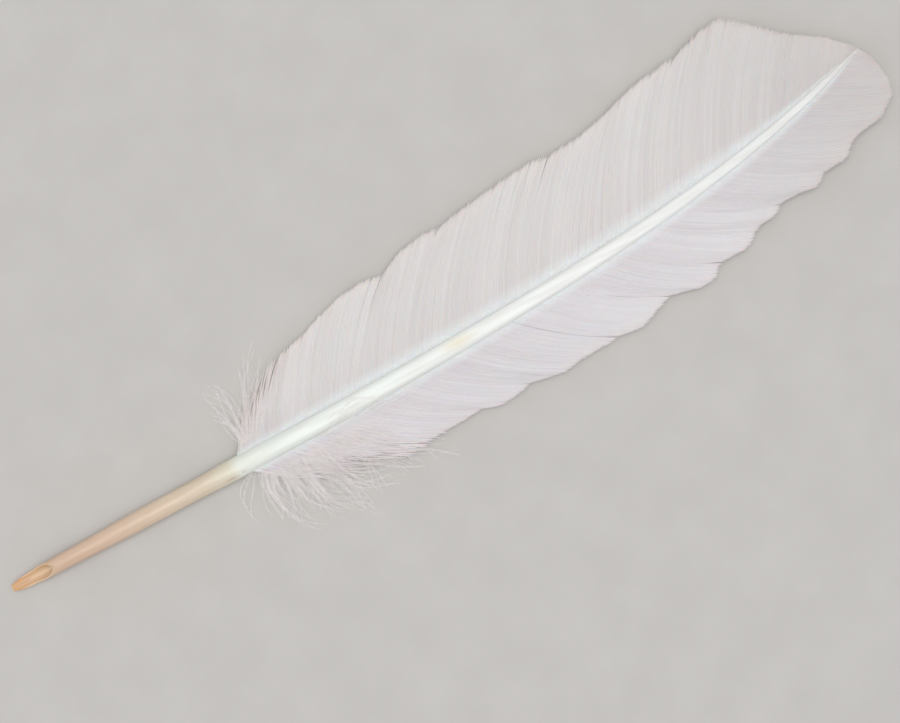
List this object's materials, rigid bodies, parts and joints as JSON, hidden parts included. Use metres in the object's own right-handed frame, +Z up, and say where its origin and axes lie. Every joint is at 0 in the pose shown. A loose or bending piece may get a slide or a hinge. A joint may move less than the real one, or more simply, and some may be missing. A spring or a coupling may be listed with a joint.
{
  "type": "quill pen",
  "caption": "White goose-feather quill pen lying on its back: horn barrel cut to a slit, flexing nib, shaft with a wide and a narrow vane, and down where the vanes begin.",
  "frame": {"origin": "under the middle of the pen as it lies on its back, at the level it rests on", "axes": "+X from the nib to the feather's end, +Y toward the wide vane, +Z up out of the grooved side of the shaft"},
  "size_m": [0.3, 0.084, 0.0072],
  "materials": {
    "barrel_horn": "satin translucent horn",
    "nib_horn": "thin scraped horn, ochre",
    "dried_pulp": "dry, matte",
    "shaft_horn": "satin white horn",
    "pith": "matte foam",
    "wide_barbs": "silky",
    "narrow_barbs": "silky",
    "down": "fluffy"
  },
  "bodies": {
    "quill": {"barrel": "barrel_horn", "umbilicus_plug": "dried_pulp", "rachis_cortex": "shaft_horn", "rachis_pith": "pith", "vane_wide_1": "wide_barbs", "vane_wide_2": "wide_barbs", "vane_wide_3": "wide_barbs", "vane_wide_4": "wide_barbs", "vane_wide_5": "wide_barbs", "vane_wide_6": "wide_barbs", "vane_wide_7": "wide_barbs", "vane_narrow_1": "narrow_barbs", "vane_narrow_2": "narrow_barbs", "vane_narrow_3": "narrow_barbs", "vane_narrow_4": "narrow_barbs", "vane_narrow_5": "narrow_barbs", "vane_narrow_6": "narrow_barbs", "vane_narrow_7": "narrow_barbs", "vane_narrow_8": "narrow_barbs", "vane_narrow_9": "narrow_barbs", "down_wide": "down", "down_narrow": "down", "down_narrow_outer": "down", "down_loose": "down"},
    "tine_left": {"nib_tine_left": "nib_horn"},
    "tine_right": {"nib_tine_right": "nib_horn"}
  },
  "joints": [
    {"name": "tine_left_flex", "type": "hinge", "parent": "quill", "child": "tine_left", "pos_m": [-0.14398, -0.00658, 0.00136], "axis": [0, -0.9063, -0.4226], "range_deg": [0, 5], "stiffness_Nm_per_rad": 0.02},
    {"name": "tine_right_flex", "type": "hinge", "parent": "quill", "child": "tine_right", "pos_m": [-0.14398, -0.00839, 0.00136], "axis": [0, -0.9063, 0.4226], "range_deg": [0, 5], "stiffness_Nm_per_rad": 0.02}
  ]
}
